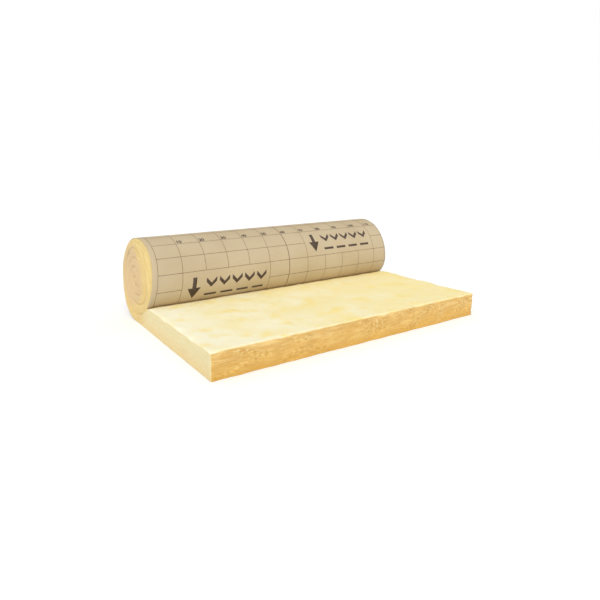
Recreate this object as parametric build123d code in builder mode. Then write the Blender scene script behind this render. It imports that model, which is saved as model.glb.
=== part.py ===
"""A kraft-faced roll of glass wool, partly unrolled on the floor.

Two pieces, wound together: the wool mat and the kraft facing on its outer side. Each is one section, drawn across
the roll and pulled along its axis. X runs along the roll, -Y points to the cut end of the mat and Z is up.
"""
import os
from math import atan2, degrees

from build123d import *

# Driving dimensions, in millimetres
mat_width = 1200.0  # along the roll, twelve squares of the printed cutting grid
mat_thickness = 92.0  # of the mat where it lies free
roll_radius = 170.0  # to the outside of the facing
wound_pitch = 38.0  # one turn in the roll: the squeezed mat and its facing
flat_run = 700.0  # from the cut end of the mat to the line that the roll rests on
facing_thickness = 0.5

# Counts and shares
inner_turns = 3  # turns inside the outer one
nip_bend_share = 0.85  # the bend above the nip against the radius of the next turn

# The section's plane: its origin is where the roll meets the floor, and the part's is below its middle
roll_y = (flat_run - roll_radius) / 2
section = Plane(origin=(0, roll_y, 0), x_dir=(0, 1, 0), z_dir=(1, 0, 0))
roll_axis = (0, roll_radius)


def turn_radius(turn):
    """Outside of a turn, counted from the outer one."""
    return roll_radius - turn * wound_pitch


def draw_turn(turn, inset):
    """Three quarters of a turn: from under the roll up its rear, over the top and down to its front."""
    CenterArc(roll_axis, turn_radius(turn) - inset, -90, 270)


def draw_step(turn, inset):
    """The last quarter, where the roll's weight presses a turn in by one pitch: a tight bend, then a flat one."""
    outer = turn_radius(turn)
    inner = turn_radius(turn + 1)
    tight = nip_bend_share * inner
    tight_shift = outer - tight
    flat = (tight_shift**2 + inner**2 - tight**2) / (2 * (inner - tight))
    flat_rise = flat - inner
    tight_angle = degrees(atan2(flat_rise, tight_shift))
    CenterArc((-tight_shift, roll_radius), tight - inset, 180, tight_angle)
    CenterArc((0, roll_radius + flat_rise), flat - inset, 180 + tight_angle, 90 - tight_angle)


def draw_winding(inset):
    """The run of the facing's outside, or a line set in from it: along the floor, then turn by turn."""
    Line((-flat_run, inset), (0, inset))
    for turn in range(inner_turns):
        draw_turn(turn, inset)
        draw_step(turn, inset)
    draw_turn(inner_turns, inset)


# The facing, from the cut end of the mat to its own end in the middle of the roll
inner_end = turn_radius(inner_turns)
with BuildPart() as kraft_facing:
    with BuildSketch(section) as facing_section:
        with BuildLine():
            draw_winding(0)
            draw_winding(facing_thickness)
            Line((-flat_run, 0), (-flat_run, facing_thickness))
            Line((-inner_end, roll_radius), (facing_thickness - inner_end, roll_radius))
        make_face()
    extrude(amount=mat_width / 2, both=True)

# The wool: all that the outer turn holds and the flat run, less the facing that winds through them
with BuildPart() as wool_mat:
    with BuildSketch(section):
        with BuildLine():
            draw_turn(0, 0)
            draw_step(0, 0)
            Line((0, wound_pitch), (0, 0))
        make_face()
        with Locations((-flat_run / 2, mat_thickness / 2)):
            Rectangle(flat_run, mat_thickness)
        add(facing_section.sketch_local, mode=Mode.SUBTRACT)
    extrude(amount=mat_width / 2, both=True)

os.makedirs("parts", exist_ok=True)
for name, piece in {"wool_mat": wool_mat, "kraft_facing": kraft_facing}.items():
    piece.part.label = name
    export_step(piece.part, f"parts/{name}.step")
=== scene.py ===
"""Looks for a partly unrolled roll of kraft-faced glass wool.

The mat is modelled as it comes off the line, flat, and then wound: every vertex of the wool, the facing and
its print has a place along the mat, across it and through it, and the winding turns that into a place in the
frame. Lengths are in metres.
"""

import random
from bisect import bisect_right
from math import asin, atan2, ceil, cos, exp, floor, pi, radians, sin, sqrt

import bmesh
import bpy
from mathutils import Matrix, Quaternion, Vector, noise


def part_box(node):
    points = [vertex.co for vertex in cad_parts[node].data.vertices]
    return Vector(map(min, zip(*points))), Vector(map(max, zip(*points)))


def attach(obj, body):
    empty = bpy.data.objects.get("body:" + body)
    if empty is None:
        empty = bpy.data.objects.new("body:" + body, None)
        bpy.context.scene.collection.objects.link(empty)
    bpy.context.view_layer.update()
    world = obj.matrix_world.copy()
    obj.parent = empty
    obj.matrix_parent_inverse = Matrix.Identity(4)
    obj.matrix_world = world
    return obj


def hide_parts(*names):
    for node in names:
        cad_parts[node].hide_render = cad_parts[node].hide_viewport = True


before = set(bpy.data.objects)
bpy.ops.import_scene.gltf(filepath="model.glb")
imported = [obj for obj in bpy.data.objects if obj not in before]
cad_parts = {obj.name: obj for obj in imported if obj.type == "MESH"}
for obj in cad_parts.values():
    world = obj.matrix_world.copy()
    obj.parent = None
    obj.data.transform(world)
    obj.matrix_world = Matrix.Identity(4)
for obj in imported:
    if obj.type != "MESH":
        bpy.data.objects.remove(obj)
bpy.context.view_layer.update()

# Sizes that the frame gives
facing_low, facing_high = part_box("kraft_facing")
WIDTH = facing_high.x - facing_low.x
ROLL_RADIUS = facing_high.z / 2
ROLL_Y = facing_high.y - ROLL_RADIUS
CUT_Y = facing_low.y
FLAT_RUN = ROLL_Y - CUT_Y
HALF = WIDTH / 2

# Sizes of the winding, as in the part's source. Each turn is round for three quarters of its way.
THICKNESS = 0.092
PITCH = 0.038
FACING = 0.0005
INNER_TURNS = 3
ROUND_SHARE = 0.75
NIP_BEND_SHARE = 0.85
LAST_TURNS = INNER_TURNS + ROUND_SHARE
WOOL_TURNS = LAST_TURNS + 1

# Sizes of the meshes, and how near two places are when they count as one, or as on the same side
WOOL_LAYERS = 24
WOOL_ACROSS = 260
WOOL_STEP = 0.0046
WEDGE_STATIONS = 22
STATIONS_A_TURN = 150
FACING_ACROSS = 120
FACING_STATIONS_OUTSIDE = 120
FACING_STATIONS_INSIDE = 60
TINY = 1e-6
NEAR = 1e-4

# The bake's map of the wool: the gap between its sides, and the scale of what the facing hides
MAP_GAP = 0.012
HIDDEN_ACROSS = 0.3
HIDDEN_ALONG = 0.1

# The wool's relief: heights, and noises as waves to the metre along, across and through the mat and a shift.
# The noise of the torn patches runs across the mat and through it.
SWELL = 0.0016
SWELL_NOISE = ((4, 4, 4), (0, 0, 0))
LUMP = 0.0012
LUMP_ON_CUT = 0.0030
LUMP_NOISE = ((17, 17, 24), (0, 0, 0))
LAYER = 0.0007
LAYER_NOISE = ((22, 22, 240), (7, 0, 0))
TUFT = 0.0005
TUFT_ON_CUT = 0.0032
TUFT_WHERE_SMOOTH = 0.2
TUFT_NOISE = ((85, 85, 140), (0, 0, 3))
TORN_NOISE = ((8, 22, 0), (0, 0, 4))
TORN_RANGE = (-0.08, 0.18)
RAGGED_REACH = 0.010

# The wool's edges and ends
NIP_DIP = 0.0104
NIP_DIP_REACH = 0.022
SOFT_EDGE = 0.03
SOFTENINGS = 3
EDGE_WEAR = 0.012
EDGE_REACH = 0.012
WEAR_NOISE = ((16, 16, 0), (0, 0, 9))
WEAR_ENDS = 0.03
LIP_OUT = 0.002
LIP_LOW = 0.0001
SIDE_SWELL = 0.0006
END_LEAN = 0.008
LEAN_GROWS = (ROLL_Y - 0.05, ROLL_Y + 0.12)
TURN_SWELL = 0.0026
TURN_GROOVE = 0.0034
TURN_GROOVE_REACH = 0.0045
TURNS_GROW = (FLAT_RUN - 0.05, FLAT_RUN)
LAYERS_CROWD = (FLAT_RUN - 0.1, FLAT_RUN)

# How far the facing's edges sit back in the wool inside the roll, and on the roll's near end, where the wool
# swells out past the paper. There it grows and dwindles over these turns, counted from the floor.
FACING_SET_BACK = 0.0020
SET_BACK_TURNS = 0.05
RIM_SET_BACK = 0.022
RIM_GROWS = (0.22, 0.64)
RIM_DWINDLES = (0.62, 0.86)

# The paper's dents, which begin a little after it leaves the floor
DENT = 0.0007
DENT_NOISE = ((9, 5, 0), (0, 0, 1.5))
DENT_TURNS = 0.05

# The print
GRID_COLUMN = 0.100
GRID_ROW = 0.0662
GRID_MARGIN = 0.022
GRID_LINE = 0.0017
MIDDLE_COLUMN = 6
PRINT_ROWS = 8
RULER_ROW = 4
RULER_STEP = 10
DIGIT = 0.017
DIGIT_GAP = 0.005
DIGIT_SHARE = 0.7
DIGIT_WEIGHT = 0.05
DIGIT_CURVE_STEPS = 3
MARK_COLUMNS = 4
MARK_ROWS = 2
MARK_CELLS = ((7, 4), (1, 6))
PRINT_LIFT = 0.0003
PRINT_FILM = 0.0001
PRINT_STRIP = 0.008

# A mark: places are from its upper left corner, to the right and down
ARROW = 0.042
ARROW_SHAFT = 0.2
ARROW_HEAD = 0.75
ARROW_RIGHT = 0.052
ARROW_DOWN = 0.066
CHEVRONS = 5
CHEVRON_RUN = 0.023
CHEVRON_WEIGHT = 0.017
CHEVRON_RIGHT = 0.125
CHEVRON_STEP = 0.058
CHEVRON_DOWN = 0.050
DASHES = 4
DASH = 0.053
DASH_RIGHT = 0.102
DASH_STEP = 0.073
DASH_TOP = 0.098
DASH_BOTTOM = 0.108

# The loose fibres
FIBRE_COUNT = 5400
FIBRE_SHARES = {"top": 1.0, "end": 0.8, "cut": 3.5}
FIBRE_LENGTHS = (0.008, 0.036)
FIBRE_RISES = (0.0005, 0.0040)
FIBRE_BEND = 0.35
FIBRE_SPREAD = 0.4
FIBRE_RADIUS = 0.00015
FIBRE_POINTS = 6
FIBRE_ROOT = 0.0025
FIBRE_FRINGE = 0.006
FIBRE_SEED = 7

# The wool's looks: three directions of its strands, and the darker core that shows on the roll's end. The
# core's middle is shifted back and up from the roll's axis, so the pale outer turn shows wider at the front
# and top: painted light there and painted shade towards the rear.
STRAND_ANGLES = (0.3, 1.4, 2.4)
PAINTED_LIGHT_CORE_SHIFT = (0, 0.035, 0.015)
CORE_ENDS = (0.098, 0.140)

# The studio
WHITE = (1, 1, 1, 1)
BLACK = (0, 0, 0, 1)
SEEN_RAYS = ("Camera", "Glossy", "Transmission")
WORLD_LIGHT = 0.65
KEY_LIGHT = 1.7
KEY_SPREAD = radians(60)
KEY_TURN = (radians(49), 0, radians(-39))
FLOOR_GREY = (0.85, 0.85, 0.85, 1)
FLOOR_GLOW = (0.2, 0.2, 0.2, 1)
FLOOR_SIZE = 60
FLOOR_DROP = 0.001
LENS = 31.306
LENS_SHIFT = -0.1
SENSOR = 36
CAMERA_AT = (-1.2064, ROLL_Y - 2.0528, 0.6548)
CAMERA_TURN = (radians(90 - 8.94), 0, radians(-34.38))


# The winding


def turn_radius(turn):
    """Outside of a turn, counted from the outer one."""
    return ROLL_RADIUS - turn * PITCH


def step_bends(turn):
    """Where a turn is pressed in by one pitch: its tight and its flat bend, each as (y, z, radius), and the
    angle where one meets the other. Places are from the roll's axis."""
    inner = turn_radius(turn + 1)
    tight = NIP_BEND_SHARE * inner
    shift = turn_radius(turn) - tight
    flat = (shift**2 + inner**2 - tight**2) / (2 * (inner - tight))
    return (-shift, 0, tight), (0, flat - inner, flat), atan2(flat - inner, shift)


def on_winding(turns, inset=0.0):
    """The place on the facing's outside, or inset from it, so many turns after the mat leaves the floor."""
    turn = floor(turns)
    angle = 2 * pi * (turns - turn)
    past_round = angle - 2 * pi * ROUND_SHARE
    y, z, radius = 0, 0, turn_radius(turn)
    if past_round > 0:
        tight, flat, meeting = step_bends(turn)
        y, z, radius = tight if past_round < meeting else flat
    reach = radius - inset
    return Vector((0, ROLL_Y + y + reach * sin(angle), ROLL_RADIUS + z - reach * cos(angle)))


ROLL_AXIS = Vector((0, ROLL_Y, ROLL_RADIUS))
NIP_DROP = ROLL_RADIUS - THICKNESS + NIP_DIP
NIP_TURNS = ROUND_SHARE + asin(NIP_DROP / step_bends(0)[0][2]) / (2 * pi)
NIP_Y = on_winding(NIP_TURNS).y
OPEN_RUN = NIP_Y - CUT_Y


def steps(start, end, count):
    """Even steps from start to end, both included."""
    return [start + (end - start) * i / count for i in range(count + 1)]


def wool_stations():
    """Lines through the mat's thickness, in order along it, each from the facing to the mat's other face."""
    stations = []
    for y in steps(CUT_Y, NIP_Y, round(OPEN_RUN / WOOL_STEP))[:-1]:
        dip = NIP_DIP * exp((y - NIP_Y) / NIP_DIP_REACH)
        stations.append((Vector((0, y, FACING)), Vector((0, y, THICKNESS - dip))))
    for turns in steps(NIP_TURNS, 1, WEDGE_STATIONS)[:-1]:
        head = on_winding(turns)
        stations.append((Vector((0, head.y, FACING)), head))
    for turns in steps(0, WOOL_TURNS, round(WOOL_TURNS * STATIONS_A_TURN)):
        head = on_winding(turns + 1) if turns + 1 <= WOOL_TURNS else ROLL_AXIS.copy()
        stations.append((on_winding(turns, FACING), head))
    return stations


def facing_turns():
    """Stations along the facing, in turns from where it leaves the floor."""
    outside = steps(0, 1, FACING_STATIONS_OUTSIDE)
    inside = steps(1, LAST_TURNS, round((LAST_TURNS - 1) * FACING_STATIONS_INSIDE))
    return outside + inside[1:]


FACING_TURNS = facing_turns()
FACING_ALONG = [FLAT_RUN]
for before, after in zip(FACING_TURNS, FACING_TURNS[1:]):
    FACING_ALONG.append(FACING_ALONG[-1] + (on_winding(after) - on_winding(before)).length)


def turns_at(along):
    """Turns from where the facing leaves the floor, at a length along it."""
    index = min(bisect_right(FACING_ALONG, along), len(FACING_ALONG) - 1)
    low, high = FACING_ALONG[index - 1], FACING_ALONG[index]
    share = (along - low) / (high - low)
    return FACING_TURNS[index - 1] + share * (FACING_TURNS[index] - FACING_TURNS[index - 1])


def eased(value, low, high):
    """From 0 to 1, smoothly, as a value goes from low to high."""
    share = min(1, max(0, (value - low) / (high - low)))
    return share * share * (3 - 2 * share)


def rim_set_back(turns):
    """How far the paper's edge lies in from the roll's near end: most above the front, and not at all at the
    rear and at the nip."""
    return RIM_SET_BACK * eased(turns, *RIM_GROWS) * (1 - eased(turns, *RIM_DWINDLES))


def ripple(place, waves, shift):
    """Smooth noise from -1 to 1, with so many waves to the metre along each axis."""
    return noise.noise([p * wave + s for p, wave, s in zip(place, waves, shift)])


# Meshes


def finish_piece(mesh, name, slot, material, *replaced):
    """The mesh as a piece of the part."""
    mesh.materials.append(material)
    piece = bpy.data.objects.new(name, mesh)
    bpy.context.scene.collection.objects.link(piece)
    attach(piece, "root")
    if replaced:
        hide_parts(*replaced)
    return piece


def finish_bmesh(bm, name, slot, material, *replaced):
    """The shape as a piece of the part. Its faces are sorted by their vertices, the same in each run."""
    bm.verts.index_update()
    for i, face in enumerate(sorted(bm.faces, key=lambda face: sorted(v.index for v in face.verts))):
        face.index = i
        face.smooth = True
    bm.faces.sort()
    mesh = bpy.data.meshes.new(name)
    bm.to_mesh(mesh)
    bm.free()
    return finish_piece(mesh, name, slot, material, *replaced)


def across_edges(bm):
    """Edges that run across the whole mat."""
    return [e for e in bm.edges if abs(e.verts[0].co.x - e.verts[1].co.x) > HALF]


# The wool. A place is (along, across, depth) in the mat.


def torn_share(place):
    """How torn the cut face is at a place: from 0, where the blade left it smooth, to 1."""
    along, across, depth = place
    return eased(ripple((across, depth, along), *TORN_NOISE), *TORN_RANGE)


def wool_relief(place):
    """How far the wool stands out at a place: a swell and lumps, then the layers and tufts that the cut face
    shows most."""
    cut = 1 - min(1, place[0] / RAGGED_REACH)
    tuft = TUFT + TUFT_ON_CUT * cut * (TUFT_WHERE_SMOOTH + (1 - TUFT_WHERE_SMOOTH) * torn_share(place))
    lumps = (LUMP + LUMP_ON_CUT * cut) * ripple(place, *LUMP_NOISE)
    tufts = tuft * ripple(place, *TUFT_NOISE)
    return SWELL * ripple(place, *SWELL_NOISE) + lumps + tufts + LAYER * ripple(place, *LAYER_NOISE)


def flat_wool(stations):
    """The mat's block, flat: X across it, Y counts stations along it, Z from 0 at the facing to 1. The top of
    the run that lies open and the cut face are divided across."""
    count = len(stations) - 1
    nip_station = next(i for i, (foot, head) in enumerate(stations) if foot.y > NIP_Y - TINY)
    bm = bmesh.new()
    bmesh.ops.create_grid(bm, x_segments=count, y_segments=WOOL_LAYERS, size=0.5)
    upright = Matrix(((0, 0, 1, -HALF), (count, 0, 0, count / 2), (0, 1, 0, 0.5), (0, 0, 0, 1)))
    bmesh.ops.transform(bm, matrix=upright, verts=bm.verts)
    walls = bmesh.ops.extrude_face_region(bm, geom=bm.faces[:])
    far_side = [v for v in walls["geom"] if isinstance(v, bmesh.types.BMVert)]
    bmesh.ops.translate(bm, vec=(WIDTH, 0, 0), verts=far_side)

    def lies_open(vert):
        return round(vert.co.y) == 0 or (vert.co.z > 1 - NEAR and round(vert.co.y) <= nip_station)

    open_edges = [e for e in across_edges(bm) if lies_open(e.verts[0])]
    bmesh.ops.subdivide_edges(bm, edges=open_edges, cuts=WOOL_ACROSS - 1, use_grid_fill=True)
    return bm


def sort_block(bm):
    """Sets the flat block's vertices at exact places and sorts them by place, because the operators make them
    in another order each run."""
    for v in bm.verts:
        column = round((v.co.x + HALF) / WIDTH * WOOL_ACROSS)
        layer = round(v.co.z * WOOL_LAYERS)
        v.co = (column / WOOL_ACROSS * WIDTH - HALF, round(v.co.y), layer / WOOL_LAYERS)
    for i, v in enumerate(sorted(bm.verts, key=lambda v: v.co.yzx[:])):
        v.index = i
    bm.verts.sort()


def wool_side(face, mat):
    """Which side of the wool a face is on: an end, the open top, the cut face, or what the facing hides."""
    places = [v[mat] for v in face.verts]
    reach = max(place.x for place in places)
    if abs(sum(place.y for place in places)) > (HALF - NEAR) * len(places):
        return "end"
    if max(place.z for place in places) < NEAR and reach < OPEN_RUN + WOOL_STEP:
        return "top"
    return "cut" if reach < NEAR else "hidden"


def lay_out_wool(bm, mat, sides):
    """The bake's map, all at one scale: both ends, then the open top, then the cut face, and beside the ends,
    small, what the facing hides."""
    bake = bm.loops.layers.uv.new("OFBake")
    far_end = 2 * ROLL_RADIUS + 2 * MAP_GAP
    top = far_end + 2 * ROLL_RADIUS + MAP_GAP
    cut_face = top + OPEN_RUN + MAP_GAP
    side = cut_face + THICKNESS + MAP_GAP
    hidden = facing_high.y - CUT_Y + 2 * MAP_GAP
    for face in bm.faces:
        for loop in face.loops:
            x, y, z = loop.vert.co
            spots = {
                "end": (y - CUT_Y + MAP_GAP, z + (far_end if face.normal.x > 0 else MAP_GAP)),
                "top": (x + HALF + MAP_GAP, y - CUT_Y + top),
                "cut": (x + HALF + MAP_GAP, z + cut_face),
                "hidden": (hidden + HIDDEN_ACROSS * (x + HALF), MAP_GAP + HIDDEN_ALONG * loop.vert[mat].x),
            }
            loop[bake].uv = Vector(spots[sides[face]]) / side


def rim_rounding(along, from_outside):
    """How far the roll's near end is rounded back to the paper's edge, so far in from the outer turn."""
    radius = rim_set_back(turns_at(along)) if along > FLAT_RUN else 0
    inside = max(0, radius - from_outside)
    return radius - sqrt(radius**2 - inside**2)


def edge_wear(place):
    """How far the mat's upper edges are worn down at a place."""
    along, across, depth = place
    from_edge = min(along, HALF - abs(across)) + depth
    before_nip = min(1, max(0, OPEN_RUN - along) / WEAR_ENDS)
    worn = max(0, ripple(place, *WEAR_NOISE))
    return EDGE_WEAR * worn * before_nip * exp(-from_edge / EDGE_REACH)


def wind_wool(bm, stations):
    """Winds the flat block. Each vertex keeps its place in the mat, how far it is from a turn of paper, how
    far the roll's end is rounded there and how torn the cut face is."""
    along = [0.0]
    for before, after in zip(stations, stations[1:]):
        along.append(along[-1] + (after[0] - before[0]).length)
    mat = bm.verts.layers.float_vector.new("mat")
    from_turn = bm.verts.layers.float.new("from_turn")
    rounding = bm.verts.layers.float.new("rounding")
    torn = bm.verts.layers.float.new("torn")
    for v in bm.verts:
        index = round(v.co.y)
        foot, head = stations[index]
        span = (head - foot).length
        near_paper = 0.5 - 0.5 * cos(pi * v.co.z)
        share = v.co.z + (near_paper - v.co.z) * eased(along[index], *LAYERS_CROWD)
        in_middle = head == ROLL_AXIS
        depth = PITCH - share * span if in_middle else (1 - share) * span
        v[mat] = Vector((along[index], v.co.x, depth))
        v[from_turn] = share * span if in_middle else min(share, 1 - share) * span
        v[rounding] = rim_rounding(along[index], share * span) if v.co.x < 0 else 0
        v[torn] = torn_share(v[mat])
        at = foot.lerp(head, share)
        v.co = (v.co.x, at.y, at.z)
    bmesh.ops.remove_doubles(bm, verts=bm.verts, dist=TINY)
    bmesh.ops.recalc_face_normals(bm, faces=bm.faces)


def soften_edges(bm, mat):
    """Rounds the edges of the run that lies open."""
    every_axis = {"use_axis_x": True, "use_axis_y": True, "use_axis_z": True}
    on_run = [v for v in bm.verts if v[mat].x < OPEN_RUN]
    soft = [v for v in on_run if all(edge.calc_length() < SOFT_EDGE for edge in v.link_edges)]
    for _ in range(SOFTENINGS):
        bmesh.ops.smooth_vert(bm, verts=soft, factor=0.5, **every_axis)
    bm.normal_update()


def roughen_wool(bm, mat):
    """Gives the wool its relief and wears its edges. What lies on the facing stays on it, apart from a lip at
    the cut, and the ends swell and lean out."""
    from_turn = bm.verts.layers.float["from_turn"]
    rounding = bm.verts.layers.float["rounding"]
    for v in bm.verts:
        place = v[mat]
        on_cut = place.x < TINY
        on_facing = v[from_turn] < TINY and not (place.z < TINY and place.x < OPEN_RUN)
        push = v.normal * wool_relief(place)
        if on_facing or place.x > FLAT_RUN:
            push.z = 0
            push.y = push.y if on_cut else 0
        v.co += push
        v.co.z -= edge_wear(place)
        if on_cut and on_facing:
            v.co.y -= LIP_OUT
            v.co.z = LIP_LOW
        if abs(place.y) > HALF - TINY:
            ridge = TURN_SWELL - TURN_GROOVE * exp(-v[from_turn] / TURN_GROOVE_REACH)
            lean = END_LEAN * (1 - v.co.z / ROLL_RADIUS) * eased(v.co.y, *LEAN_GROWS)
            swell = SIDE_SWELL + lean + ridge * eased(place.x, *TURNS_GROW)
            v.co.x += v[rounding] + (swell if place.y > 0 else -swell)


def make_wool(material):
    stations = wool_stations()
    bm = flat_wool(stations)
    sort_block(bm)
    wind_wool(bm, stations)
    mat = bm.verts.layers.float_vector["mat"]
    sides = {face: wool_side(face, mat) for face in bm.faces}
    lay_out_wool(bm, mat, sides)
    for edge in bm.edges:
        meeting = {sides[face] for face in edge.link_faces}
        edge.smooth = len(meeting) == 1 or "hidden" not in meeting
    soften_edges(bm, mat)
    roughen_wool(bm, mat)
    return finish_bmesh(bm, "wool", "glass_wool", material, "wool_mat")


# The facing


def facing_place(along, across, lift=0.0):
    """Where a point of the flat facing comes to lie, lifted off its outside, with the paper's soft dents."""
    if along < FLAT_RUN:
        return Vector((across, CUT_Y + along, -lift))
    turns = turns_at(along)
    dent = 0.0
    if turns < NIP_TURNS:
        dent = DENT * max(0.0, ripple((along, across, 0), *DENT_NOISE)) * min(1, turns / DENT_TURNS)
    at = on_winding(turns, -lift - dent)
    set_back = FACING_SET_BACK * eased(turns, NIP_TURNS, NIP_TURNS + SET_BACK_TURNS)
    at.x = across * (1 - set_back / HALF) + rim_set_back(turns) * (HALF - across) / WIDTH
    return at


NIP_ALONG = next(length for length, turns in zip(FACING_ALONG, FACING_TURNS) if turns > NIP_TURNS)


def make_facing(material):
    along = [0.0] + FACING_ALONG
    count = len(along) - 1
    bm = bmesh.new()
    bmesh.ops.create_grid(bm, x_segments=1, y_segments=count, size=0.5)
    lengthwise = Matrix(((WIDTH, 0, 0, 0), (0, count, 0, count / 2), (0, 0, 1, 0), (0, 0, 0, 1)))
    bmesh.ops.transform(bm, matrix=lengthwise, verts=bm.verts)
    outside = [e for e in across_edges(bm) if 1 <= round(e.verts[0].co.y) <= FACING_STATIONS_OUTSIDE]
    bmesh.ops.subdivide_edges(bm, edges=outside, cuts=FACING_ACROSS - 1, use_grid_fill=True)
    bmesh.ops.reverse_faces(bm, faces=bm.faces)
    sheet = bm.verts.layers.float_vector.new("sheet")
    for v in bm.verts:
        place = along[round(v.co.y)]
        v[sheet] = Vector((place, v.co.x, 0))
        v.co = facing_place(place, v.co.x)
    bm.normal_update()
    bmesh.ops.solidify(bm, geom=bm.faces[:], thickness=FACING)
    return finish_bmesh(bm, "facing", "kraft_paper", material, "kraft_facing")


# The print, drawn flat: X across the mat, Y up the sheet, against its length


def draw_bar(bm, left, bottom, right, top):
    drawn = bmesh.ops.create_grid(bm, x_segments=1, y_segments=1, size=0.5)["verts"]
    bmesh.ops.scale(bm, vec=(right - left, top - bottom, 1), verts=drawn)
    bmesh.ops.translate(bm, vec=((left + right) / 2, (bottom + top) / 2, 0), verts=drawn)


def draw_chevron(bm, x, y, run, weight):
    """Two strokes that meet below, the way that the roll is unrolled."""
    for hand in (-1, 1):
        drawn = bmesh.ops.create_grid(bm, x_segments=1, y_segments=1, size=0.5)["verts"]
        x_row = (run, 0, 0, x + hand * run / 2)
        y_row = (hand * run, weight, 0, y)
        lean = Matrix((x_row, y_row, (0, 0, 1, 0), (0, 0, 0, 1)))
        bmesh.ops.transform(bm, matrix=lean, verts=drawn)


def draw_arrow(bm, x, y, size):
    """A filled arrow that points down the sheet, from its middle."""
    shaft = ARROW_SHAFT * size
    head = ARROW_HEAD * size
    draw_bar(bm, x - shaft, y, x + shaft, y + size)
    drawn = bmesh.ops.create_circle(bm, cap_ends=True, segments=3, radius=head)["verts"]
    place = Matrix.Translation((x, y - head / 2, 0)) @ Matrix.Rotation(pi, 4, "Z")
    bmesh.ops.transform(bm, matrix=place, verts=drawn)


def draw_number(bm, number, x, y, height):
    """A number in the built-in lettering, from its lower left corner."""
    letters = bpy.data.curves.new("number", "FONT")
    letters.body = str(number)
    letters.size = height / DIGIT_SHARE
    letters.offset = height * DIGIT_WEIGHT
    letters.resolution_u = DIGIT_CURVE_STEPS
    holder = bpy.data.objects.new("number", letters)
    drawn = bpy.data.meshes.new_from_object(holder)
    drawn.transform(Matrix.Translation((x, y, 0)))
    bm.from_mesh(drawn)
    bpy.data.objects.remove(holder)
    bpy.data.curves.remove(letters)
    bpy.data.meshes.remove(drawn)


def wind_print(bm, name, material):
    """Winds flat print round the roll, in strips that follow its bend."""
    low = min(v.co.y for v in bm.verts)
    high = max(v.co.y for v in bm.verts)
    for y in steps(low, high, round((high - low) / PRINT_STRIP))[1:-1]:
        everything = bm.verts[:] + bm.edges[:] + bm.faces[:]
        bmesh.ops.bisect_plane(bm, geom=everything, dist=TINY, plane_co=(0, y, 0), plane_no=(0, 1, 0))
    bm.normal_update()
    bmesh.ops.reverse_faces(bm, faces=[f for f in bm.faces if f.normal.z < 0])
    for v in bm.verts:
        v.co = facing_place(-v.co.y, v.co.x, PRINT_LIFT)
    bm.normal_update()
    bmesh.ops.solidify(bm, geom=bm.faces[:], thickness=PRINT_FILM)
    return finish_bmesh(bm, name, "kraft_paper", material)


def grid_columns():
    """Where the grid's columns begin, across the mat."""
    count = floor((WIDTH - GRID_MARGIN) / GRID_COLUMN) + 1
    return [i * GRID_COLUMN + GRID_MARGIN - HALF for i in range(count)]


def in_mark(column, row):
    """Whether a cell of the grid belongs to a mark."""
    row %= PRINT_ROWS
    return any(0 <= column - c < MARK_COLUMNS and 0 <= row - r < MARK_ROWS for c, r in MARK_CELLS)


def make_grid(material):
    """The cutting grid, with a heavier line down its middle, left open where a mark stands."""
    bm = bmesh.new()
    columns = grid_columns()
    reach = [GRID_LINE if i == MIDDLE_COLUMN else GRID_LINE / 2 for i in range(len(columns))]
    for row in range(ceil(NIP_ALONG / GRID_ROW)):
        top = -row * GRID_ROW
        bottom = -min((row + 1) * GRID_ROW, NIP_ALONG)
        for i, x in enumerate(columns):
            if not (in_mark(i - 1, row) and in_mark(i, row)):
                draw_bar(bm, x - reach[i], bottom, x + reach[i], top)
            right = columns[i + 1] - reach[i + 1] if x != columns[-1] else HALF
            if row and not (in_mark(i, row - 1) and in_mark(i, row)):
                draw_bar(bm, x + reach[i], top - GRID_LINE / 2, right, top + GRID_LINE / 2)
    return wind_print(bm, "cutting_grid", material)


def draw_ruler(bm, y):
    """Centimetres across the mat, from its first column."""
    for i, x in enumerate(grid_columns()[1:]):
        draw_number(bm, RULER_STEP * (i + 1), x + DIGIT_GAP, y + DIGIT_GAP, DIGIT)


def draw_mark(bm, left, top):
    """An arrow and a row of chevrons over a dashed rule, in the cells that the grid leaves open."""
    draw_arrow(bm, left + ARROW_RIGHT, top - ARROW_DOWN, ARROW)
    for i in range(CHEVRONS):
        x = left + CHEVRON_RIGHT + CHEVRON_STEP * i
        draw_chevron(bm, x, top - CHEVRON_DOWN, CHEVRON_RUN, CHEVRON_WEIGHT)
    for i in range(DASHES):
        x = left + DASH_RIGHT + DASH_STEP * i
        draw_bar(bm, x, top - DASH_BOTTOM, x + DASH, top - DASH_TOP)


def make_marks(material):
    """Every few rows of the grid: a ruler, and under it two marks, one on each half of the mat."""
    bm = bmesh.new()
    columns = grid_columns()
    for first_row in range(0, floor(NIP_ALONG / GRID_ROW), PRINT_ROWS):
        draw_ruler(bm, -(first_row + RULER_ROW) * GRID_ROW)
        for column, row in MARK_CELLS:
            draw_mark(bm, columns[column], -(first_row + row) * GRID_ROW)
    return wind_print(bm, "print_marks", material)


# The loose fibres


def near_mat(place):
    """Whether a place is above the floor and no further out than the fringe."""
    in_width = abs(place.x) < HALF + FIBRE_FRINGE
    in_length = place.y > CUT_Y - FIBRE_FRINGE and place.z > FIBRE_RADIUS
    from_axis = (place - ROLL_AXIS).yz.length
    in_reach = place.y < NIP_Y or from_axis < ROLL_RADIUS + FIBRE_FRINGE / 2
    return in_width and in_length and in_reach


def draw_strand(draw, face, heading):
    """The points of one strand, from under a face and along a heading in its plane."""
    stride = draw.uniform(*FIBRE_LENGTHS) / (FIBRE_POINTS - 1)
    rise = (draw.uniform(*FIBRE_RISES) + FIBRE_ROOT) / (FIBRE_POINTS - 1)
    bend = Quaternion(face.normal, draw.uniform(-FIBRE_BEND, FIBRE_BEND))
    strand = [face.calc_center_median() - face.normal * FIBRE_ROOT]
    for _ in range(FIBRE_POINTS - 1):
        strand.append(strand[-1] + heading * stride + face.normal * rise)
        heading.rotate(bend)
    return strand


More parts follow.
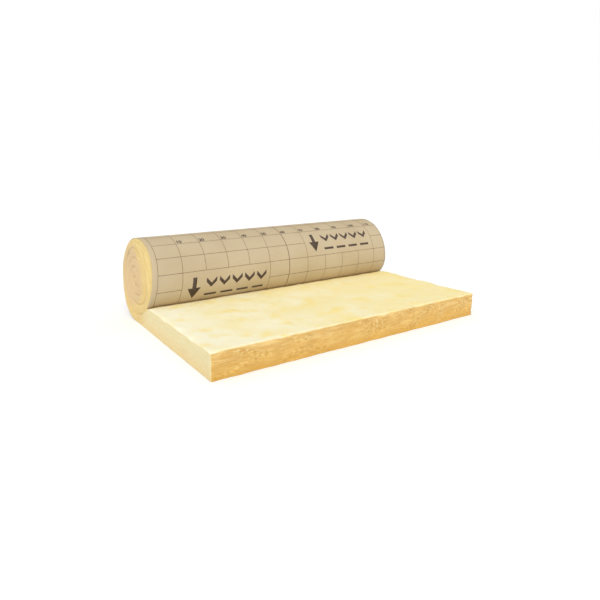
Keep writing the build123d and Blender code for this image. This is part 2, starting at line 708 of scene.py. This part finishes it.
def flat_area(face, mat):
    """The size of a face while the mat is flat."""
    spans = sorted(max(places) - min(places) for places in zip(*(v[mat] for v in face.verts)))
    return spans[1] * spans[2]


def along_layer(face, mat):
    """The direction of the edge of a face that follows the mat's layers best."""

    def slope(ends):
        start, end = ends
        return abs(start[mat].z - end[mat].z), start.index, end.index

    edges = [sorted(edge.verts, key=lambda v: v.index) for edge in face.edges]
    start, end = min(edges, key=slope)
    return (end.co - start.co).normalized()


def make_fibres(wool, material):
    """Strands that lie on the open wool and rise from it. On the cut face and the ends they follow the mat's
    layers."""
    draw = random.Random(FIBRE_SEED)
    bm = bmesh.new()
    bm.from_mesh(wool.data)
    mat = bm.verts.layers.float_vector["mat"]
    sides = {face: wool_side(face, mat) for face in bm.faces}
    shown = [face for face in bm.faces if sides[face] != "hidden"]
    lines = bpy.data.curves.new("loose_fibres", "CURVE")
    lines.dimensions = "3D"
    lines.bevel_depth = FIBRE_RADIUS
    lines.bevel_resolution = 0
    weights = [flat_area(face, mat) * FIBRE_SHARES[sides[face]] for face in shown]
    for face in draw.choices(shown, weights=weights, k=FIBRE_COUNT):
        heading = along_layer(face, mat)
        spread = pi if sides[face] == "top" else FIBRE_SPREAD
        heading.rotate(Quaternion(face.normal, draw.uniform(-spread, spread) + draw.choice((0, pi))))
        strand = draw_strand(draw, face, heading)
        if all(near_mat(place) for place in strand[1:]):
            line = lines.splines.new("POLY")
            line.points.add(FIBRE_POINTS - 1)
            for point, place in zip(line.points, strand):
                point.co = (*place, 1)
    bm.free()
    holder = bpy.data.objects.new("loose_fibres", lines)
    mesh = bpy.data.meshes.new_from_object(holder)
    bpy.data.objects.remove(holder)
    bpy.data.curves.remove(lines)
    mesh.shade_smooth()
    return finish_piece(mesh, "loose_fibres", "glass_wool", material)


# Materials


def colour(red, green, blue):
    """A colour given as it shows on a screen, from 0 to 255, as the light that it is."""
    shown = [c / 255 for c in (red, green, blue)]
    return [c / 12.92 if c <= 0.04045 else ((c + 0.055) / 1.055) ** 2.4 for c in shown] + [1.0]


class Value:
    """A node's output. Sums on it add the Math nodes that work them out."""

    def __init__(self, nodes, socket):
        self.nodes = nodes
        self.socket = socket

    def math(self, operation, *values):
        return self.nodes.add("ShaderNodeMath", {"operation": operation}, dict(enumerate(values)))

    def __add__(self, other):
        return self.math("ADD", self, other)

    def __sub__(self, other):
        return self.math("SUBTRACT", self, other)

    def __rsub__(self, other):
        return self.math("SUBTRACT", other, self)

    def __mul__(self, other):
        return self.math("MULTIPLY", self, other)

    def __abs__(self):
        return self.math("ABSOLUTE", self)

    __radd__ = __add__
    __rmul__ = __mul__


class Nodes:
    """The nodes of one material or world."""

    def __init__(self, tree):
        self.tree = tree

    def add(self, kind, settings=None, inputs=None, output=0):
        """A node of a kind, with its settings and its sockets' values or links, as one of its outputs."""
        node = self.tree.nodes.new(kind)
        for name, value in (settings or {}).items():
            setattr(node, name, value)
        for socket, value in (inputs or {}).items():
            self.put(node.inputs[socket], value)
        return Value(self, node.outputs[output])

    def put(self, socket, value):
        if isinstance(value, Value):
            self.tree.links.new(value.socket, socket)
        else:
            socket.default_value = value

    def seen(self):
        """1 for the camera's rays and those that gloss and glass send on, and 0 for those that only light."""
        rays = [self.add("ShaderNodeLightPath", output=f"Is {ray} Ray") for ray in SEEN_RAYS]
        camera, glossy, through = rays
        return camera.math("MAXIMUM", camera.math("MAXIMUM", camera, glossy), through)


class Finish(Nodes):
    """A material with one Principled shader, whose constants are set by name."""

    def __init__(self, name, **constants):
        self.material = bpy.data.materials.new(name)
        self.material.use_nodes = True
        super().__init__(self.material.node_tree)
        self.shader = self.tree.nodes["Principled BSDF"]
        for socket, value in constants.items():
            self.shader.inputs[socket.replace("_", " ")].default_value = value

    def shade(self, socket, value):
        self.put(self.shader.inputs[socket], value)

    def parts(self, vector):
        """A vector's three parts."""
        return [self.add("ShaderNodeSeparateXYZ", {}, {0: vector}, axis) for axis in "XYZ"]

    def held(self, attribute):
        """A vector that the piece's vertices hold."""
        return self.add("ShaderNodeAttribute", {"attribute_name": attribute}, output="Vector")

    def held_number(self, attribute):
        """A number that the piece's vertices hold."""
        return self.add("ShaderNodeAttribute", {"attribute_name": attribute}, output="Fac")

    def in_frame(self):
        """The place in the part's frame."""
        return self.add("ShaderNodeTexCoord", output="Object")

    def stretched(self, vector, scale):
        """A vector with each of its parts scaled."""
        return self.add("ShaderNodeVectorMath", {"operation": "MULTIPLY"}, {0: vector, 1: scale})

    def turned(self, vector, angle):
        """A vector turned in the plane of the mat."""
        inputs = {"Vector": vector, "Angle": angle}
        return self.add("ShaderNodeVectorRotate", {"rotation_type": "Z_AXIS"}, inputs)

    def noise(self, vector, scale, detail=2.0, roughness=0.5):
        inputs = {"Vector": vector, "Scale": scale, "Detail": detail, "Roughness": roughness}
        return self.add("ShaderNodeTexNoise", {}, inputs)

    def grain(self, vector, waves, detail=2.0, roughness=0.5):
        """Noise with so many waves to the metre for each part of a vector."""
        return self.noise(self.stretched(vector, waves), 1.0, detail, roughness)

    def ramp(self, value, low, high):
        """From 0 to 1, smoothly, as a value goes from low to high."""
        inputs = {"Value": value, "From Min": low, "From Max": high}
        return self.add("ShaderNodeMapRange", {"interpolation_type": "SMOOTHSTEP"}, inputs)

    def mix(self, factor, first, second):
        """From one colour to another as the factor goes from 0 to 1."""
        inputs = {"Factor": factor, 6: first, 7: second}
        return self.add("ShaderNodeMix", {"data_type": "RGBA"}, inputs, 2)

    def bump(self, height, distance, strength=1.0):
        inputs = {"Height": height, "Distance": distance, "Strength": strength}
        return self.add("ShaderNodeBump", {}, inputs)


def strands(f, mat):
    """Fine strands that lie in the plane of the mat in three directions, from 0 between them to 1 on them."""
    drawn = 0.0
    for angle in STRAND_ANGLES:
        wander = f.grain(f.turned(mat, angle), (30, 420, 420))
        drawn = (1 - f.ramp(abs(wander - 0.5), 0.0, 0.05)) * 0.4 + drawn
    return drawn


def top_wool(f, mat, along, across):
    """The open top: pale and blotched, and darker and yellower towards the nip, partly where the roll
    squeezes it and partly as painted shade of the crease there.
    """
    cloud = f.noise(mat, 6.0)
    blotch = f.grain(mat, (11, 10, 12), 3.0, 0.55)
    # Darker over the last few centimetres before the nip: partly squeezed fibres, partly painted contact
    # shade.
    nip_squeeze_and_shade = f.ramp(along, OPEN_RUN - 0.05, OPEN_RUN)
    top = f.mix(f.ramp(cloud + across * 0.4, 0.12, 0.64), colour(255, 249, 218), colour(252, 236, 174))
    top = f.mix(f.ramp(blotch, 0.48, 0.72) * 0.8, top, colour(252, 229, 136))
    return f.mix(nip_squeeze_and_shade * 0.7, top, colour(238, 203, 120))


def cut_wool(f, mat, depth, layers, crumbs):
    """The cut face: layers where the blade left it smooth, tufts where it is torn, partly painted as
    highlights and shade, and darker lower down.
    """
    bands = f.grain(mat, (8, 8, 55), 3.0)
    tufts = f.grain(mat, (75, 75, 110), 3.0, 0.6)
    torn = f.held_number("torn") * f.ramp(depth, 0.002, 0.016)
    # In torn patches the bright tufts are partly painted highlights on the tufts' tips, and the dark tufts
    # partly painted shade in the pits between them. Both are also the wool's own speckle.
    bright_tufts = f.ramp(tufts, 0.52, 0.62)
    dark_tufts = 1 - f.ramp(tufts, 0.38, 0.48)
    seams = 1 - f.ramp(abs(bands - 0.5), 0.0, 0.03)
    lower_rim = f.ramp(depth + bands * 0.05, THICKNESS, THICKNESS * 1.35)
    in_layers = f.ramp(layers * 0.5 + bands * 0.5, 0.36, 0.64)
    in_crumbs = f.ramp(crumbs * 0.6 + layers * 0.4, 0.34, 0.66)
    smooth = f.mix(in_layers, colour(221, 172, 88), colour(248, 213, 139))
    rough = f.mix(in_crumbs, colour(216, 165, 80), colour(249, 215, 138))
    cut = f.mix(torn, smooth, rough)
    cut = f.mix(torn * bright_tufts * 0.7, cut, colour(252, 224, 158))
    cut = f.mix(torn * dark_tufts * 0.6, cut, colour(204, 149, 64))
    cut = f.mix(seams * 0.4, cut, colour(206, 150, 66))
    cut = f.mix(f.ramp(depth, 0.0, THICKNESS) * 0.5, cut, colour(228, 178, 70))
    return f.mix(lower_rim * 0.6, cut, colour(211, 156, 50))


def side_wool(f, depth, fine_layers):
    """The sides of the run that lies open, darker towards the floor."""
    side = f.mix(fine_layers, colour(239, 221, 166), colour(244, 230, 182))
    return f.mix(f.ramp(depth, THICKNESS * 0.35, THICKNESS) * 0.6, side, colour(238, 206, 138))


def rolled_wool(f, layers, fine_layers):
    """The roll's ends: a dense, darker core, set back so that it also paints shade towards the rear, a looser
    outer turn, and the rounded rim, darkened as painted shade, with its split layers.
    """
    core = f.mix(fine_layers, colour(225, 193, 141), colour(229, 199, 148))
    loose_turn = f.mix(fine_layers, colour(231, 197, 124), colour(238, 212, 144))
    # Painted shade: where the near end is rounded the rim gets a darker colour than the outer turn, to offset
    # the light that the rounded shoulder catches. The dark splits are parted layers of the wool.
    rim = f.mix(fine_layers, colour(215, 187, 119), colour(229, 203, 138))
    rim = f.mix((1 - f.ramp(layers, 0.30, 0.40)) * 0.6, rim, colour(190, 154, 82))
    # Painted light and shade: the core is measured from a point behind and above the axis, so the pale outer
    # turn is wider at the front and the darker core reaches further at the rear.
    end_plane = f.stretched(f.in_frame(), (0, 1, 1))
    places = {0: end_plane, 1: ROLL_AXIS + Vector(PAINTED_LIGHT_CORE_SHIFT)}
    from_core = f.add("ShaderNodeVectorMath", {"operation": "DISTANCE"}, places, "Value")
    rolled = f.mix(f.ramp(from_core, *CORE_ENDS), core, loose_turn)
    return f.mix(f.ramp(f.held_number("rounding"), 0.0, 0.006), rolled, rim)


def glass_wool():
    """Glass wool, whose colours go by the place in the mat: on the top, the cut face or an end."""
    f = Finish("glass_wool", Specular_IOR_Level=0.12, Sheen_Weight=0.1, Sheen_Roughness=0.6)
    mat = f.held("mat")
    along, across, depth = f.parts(mat)
    layers = f.grain(mat, (24, 24, 280), 4.0, 0.55)
    crumbs = f.grain(mat, (80, 80, 190), 4.0, 0.65)
    fine_layers = f.ramp(layers, 0.30, 0.70)
    strand = strands(f, mat)
    in_roll = f.ramp(along, FLAT_RUN - 0.16, FLAT_RUN - 0.02)
    below = f.ramp(depth, 0.001, 0.006)
    on_cut = (1 - f.ramp(along, 0.0005, 0.004)) * below
    on_end = f.ramp(abs(across), HALF - 0.003, HALF - 0.0005)
    on_end = on_end.math("MINIMUM", on_end, below + in_roll)

    end = f.mix(in_roll, side_wool(f, depth, fine_layers), rolled_wool(f, layers, fine_layers))
    base = f.mix(on_cut, top_wool(f, mat, along, across), cut_wool(f, mat, depth, layers, crumbs))
    base = f.mix(on_end, base, end)
    f.shade("Base Color", f.mix(strand * 0.10, base, colour(255, 250, 226)))
    f.shade("Roughness", 0.98 - strand * 0.12)
    relief = strand * 0.5 + (layers + crumbs) * (on_cut * 0.9 + 0.3)
    f.shade("Normal", f.bump(relief, 0.0012, 0.6))
    return f.material


def kraft_paper():
    """Kraft paper, clouded, with pulp and with dark and pale flecks."""
    f = Finish("kraft_paper", Specular_IOR_Level=0.06)
    sheet = f.held("sheet")
    pulp = f.noise(sheet, 240.0, 3.0, 0.6)
    in_pulp = f.ramp(pulp, 0.25, 0.75)
    cloud = f.noise(sheet, 6.0, 3.0)
    fleck = f.grain(sheet, (120, 420, 1), 2.0, 0.6)
    base = f.mix(f.ramp(cloud, 0.3, 0.7), colour(196, 178, 146), colour(202, 185, 154))
    base = f.mix(in_pulp * 0.2, base, colour(180, 158, 122))
    base = f.mix(f.ramp(fleck, 0.60, 0.74) * 0.4, base, colour(162, 136, 100))
    base = f.mix(f.ramp(1 - fleck, 0.62, 0.74) * 0.3, base, colour(222, 208, 180))
    f.shade("Base Color", base)
    f.shade("Roughness", in_pulp * 0.16 + 0.72)
    f.shade("Normal", f.bump(pulp, 0.0003, 0.35))
    return f.material


def printing_ink(name, thin, thick):
    """Ink on kraft paper, which takes it unevenly."""
    f = Finish(name)
    taken = f.ramp(f.noise(f.in_frame(), 180.0, 3.0, 0.6), 0.3, 0.7)
    f.shade("Base Color", f.mix(taken, thin, thick))
    f.shade("Roughness", 0.7 - taken * 0.2)
    f.shade("Normal", f.bump(taken, 0.0001, 0.3))
    return f.material


def glass_fibre():
    """Fibres as pale as the wool, and a little darker on the cut face."""
    f = Finish("glass_fibre", Specular_IOR_Level=0.4)
    tint = f.ramp(f.noise(f.in_frame(), 60.0, 2.0, 0.6), 0.35, 0.65)
    pale = f.mix(tint, colour(255, 249, 222), colour(249, 226, 158))
    on_cut = 1 - f.ramp(f.parts(f.in_frame())[1], CUT_Y + 0.002, CUT_Y + 0.010)
    f.shade("Base Color", f.mix(on_cut, pale, colour(250, 220, 150)))
    f.shade("Roughness", tint * 0.2 + 0.5)
    return f.material


def studio_white():
    """The floor. It takes the part's shadow, and where nothing shades it the camera sees white."""
    f = Finish("studio_white", Roughness=1.0, Specular_IOR_Level=0.0, Emission_Strength=1.0)
    f.shade("Base Color", FLOOR_GREY)
    f.shade("Emission Color", f.mix(f.seen(), BLACK, FLOOR_GLOW))
    return f.material


# The studio


def make_floor():
    bm = bmesh.new()
    bmesh.ops.create_grid(bm, x_segments=1, y_segments=1, size=FLOOR_SIZE)
    mesh = bpy.data.meshes.new("floor")
    bm.to_mesh(mesh)
    bm.free()
    mesh.materials.append(studio_white())
    floor_object = bpy.data.objects.new("floor", mesh)
    floor_object.location.z = -FLOOR_DROP
    bpy.context.scene.collection.objects.link(floor_object)


def make_light():
    """A world that lights the part softly and shows white, and one soft sun."""
    world = bpy.data.worlds.new("studio")
    world.use_nodes = True
    nodes = Nodes(world.node_tree)
    light = nodes.add("ShaderNodeBackground", {}, {"Color": WHITE, "Strength": WORLD_LIGHT})
    backdrop = nodes.add("ShaderNodeBackground", {}, {"Color": WHITE, "Strength": 1.0})
    shown = nodes.add("ShaderNodeMixShader", {}, {0: nodes.seen(), 1: light, 2: backdrop})
    nodes.put(nodes.tree.nodes["World Output"].inputs["Surface"], shown)
    bpy.context.scene.world = world
    lamp = bpy.data.lights.new("key", "SUN")
    lamp.energy = KEY_LIGHT
    lamp.angle = KEY_SPREAD
    key = bpy.data.objects.new("key", lamp)
    key.rotation_euler = KEY_TURN
    bpy.context.scene.collection.objects.link(key)


def make_camera():
    lens = bpy.data.cameras.new("camera")
    lens.lens = LENS
    lens.sensor_width = SENSOR
    lens.shift_y = LENS_SHIFT
    camera = bpy.data.objects.new("camera", lens)
    camera.location = CAMERA_AT
    camera.rotation_euler = CAMERA_TURN
    bpy.context.scene.collection.objects.link(camera)
    bpy.context.scene.camera = camera


wool = make_wool(glass_wool())
facing = make_facing(kraft_paper())
make_grid(printing_ink("grid_ink", colour(142, 116, 86), colour(116, 92, 66)))
make_marks(printing_ink("mark_ink", colour(88, 70, 56), colour(62, 48, 40)))
make_fibres(wool, glass_fibre())
make_floor()
make_light()
make_camera()
bpy.context.scene.view_settings.view_transform = "Standard"
